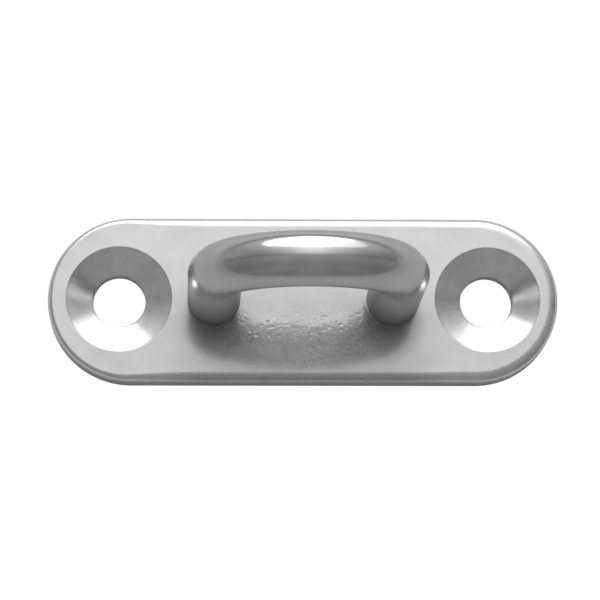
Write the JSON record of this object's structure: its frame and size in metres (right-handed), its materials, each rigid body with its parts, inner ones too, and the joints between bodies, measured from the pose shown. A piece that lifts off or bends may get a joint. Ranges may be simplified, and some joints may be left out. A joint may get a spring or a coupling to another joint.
{
  "type": "pad eye",
  "caption": "Welded pad eye: a round bar bent to a closed half-hoop over a rounded plate with countersunk screw holes at its ends.",
  "frame": {"origin": "middle of the flat mounting face, on the surface that the plate is screwed to", "axes": "+X along the plate through both screw holes, +Y across the plate, +Z out of the mounting surface through the eye"},
  "size_m": [0.0486, 0.0158, 0.027],
  "materials": {
    "plate_steel": "satin, tumble polished, with turned countersinks",
    "bow_steel": "polished bright",
    "weld_steel": "weld metal ground flush"
  },
  "bodies": {
    "root": {"base_plate": "plate_steel", "eye_bow": "bow_steel", "left_leg_weld": "weld_steel", "right_leg_weld": "weld_steel"}
  },
  "joints": []
}
